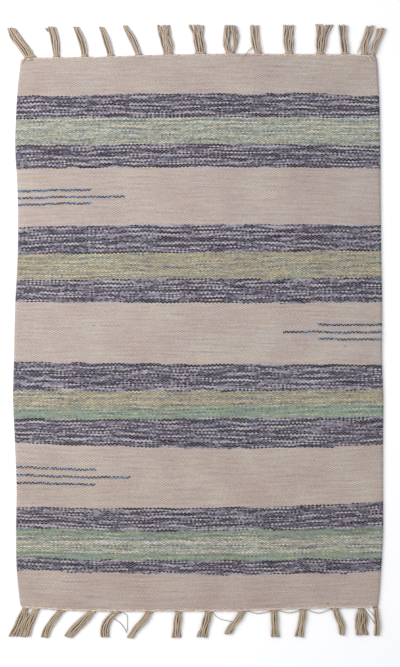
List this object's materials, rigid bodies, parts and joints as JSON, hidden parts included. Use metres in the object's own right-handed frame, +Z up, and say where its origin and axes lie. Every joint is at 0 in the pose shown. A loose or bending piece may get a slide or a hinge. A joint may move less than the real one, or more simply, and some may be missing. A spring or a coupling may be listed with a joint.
{
  "type": "flat-woven kilim rug with tasselled ends",
  "caption": "Flat weft-faced cotton rug lying open on the floor, with pale and dark cross stripes, short woven dashes at the selvedges and knotted yarn tassels along both ends.",
  "frame": {"origin": "middle of the underside of the woven field, on the floor", "axes": "+Z up out of the cloth, +Y along the length (the warp) towards the far end, +X across the width (the weft) to the right"},
  "size_m": [0.6203, 1.0083, 0.0073],
  "materials": {
    "cotton_weave": "matt weft-faced cotton, pinkish beige with mottled navy-grey, sage, yellow-green and mint cross stripes",
    "tassel_yarn": "matt unbleached plied cotton yarn, khaki beige"
  },
  "bodies": {
    "root": {"rug_field": "cotton_weave", "tassel_far_01": "tassel_yarn", "tassel_far_02": "tassel_yarn", "tassel_far_03": "tassel_yarn", "tassel_far_04": "tassel_yarn", "tassel_far_05": "tassel_yarn", "tassel_far_06": "tassel_yarn", "tassel_far_07": "tassel_yarn", "tassel_far_08": "tassel_yarn", "tassel_far_09": "tassel_yarn", "tassel_far_10": "tassel_yarn", "tassel_far_11": "tassel_yarn", "tassel_far_12": "tassel_yarn", "tassel_far_13": "tassel_yarn", "tassel_far_14": "tassel_yarn", "tassel_near_01": "tassel_yarn", "tassel_near_02": "tassel_yarn", "tassel_near_03": "tassel_yarn", "tassel_near_04": "tassel_yarn", "tassel_near_05": "tassel_yarn", "tassel_near_06": "tassel_yarn", "tassel_near_07": "tassel_yarn", "tassel_near_08": "tassel_yarn", "tassel_near_09": "tassel_yarn", "tassel_near_10": "tassel_yarn", "tassel_near_11": "tassel_yarn", "tassel_near_12": "tassel_yarn", "tassel_near_13": "tassel_yarn", "tassel_near_14": "tassel_yarn"}
  },
  "joints": []
}
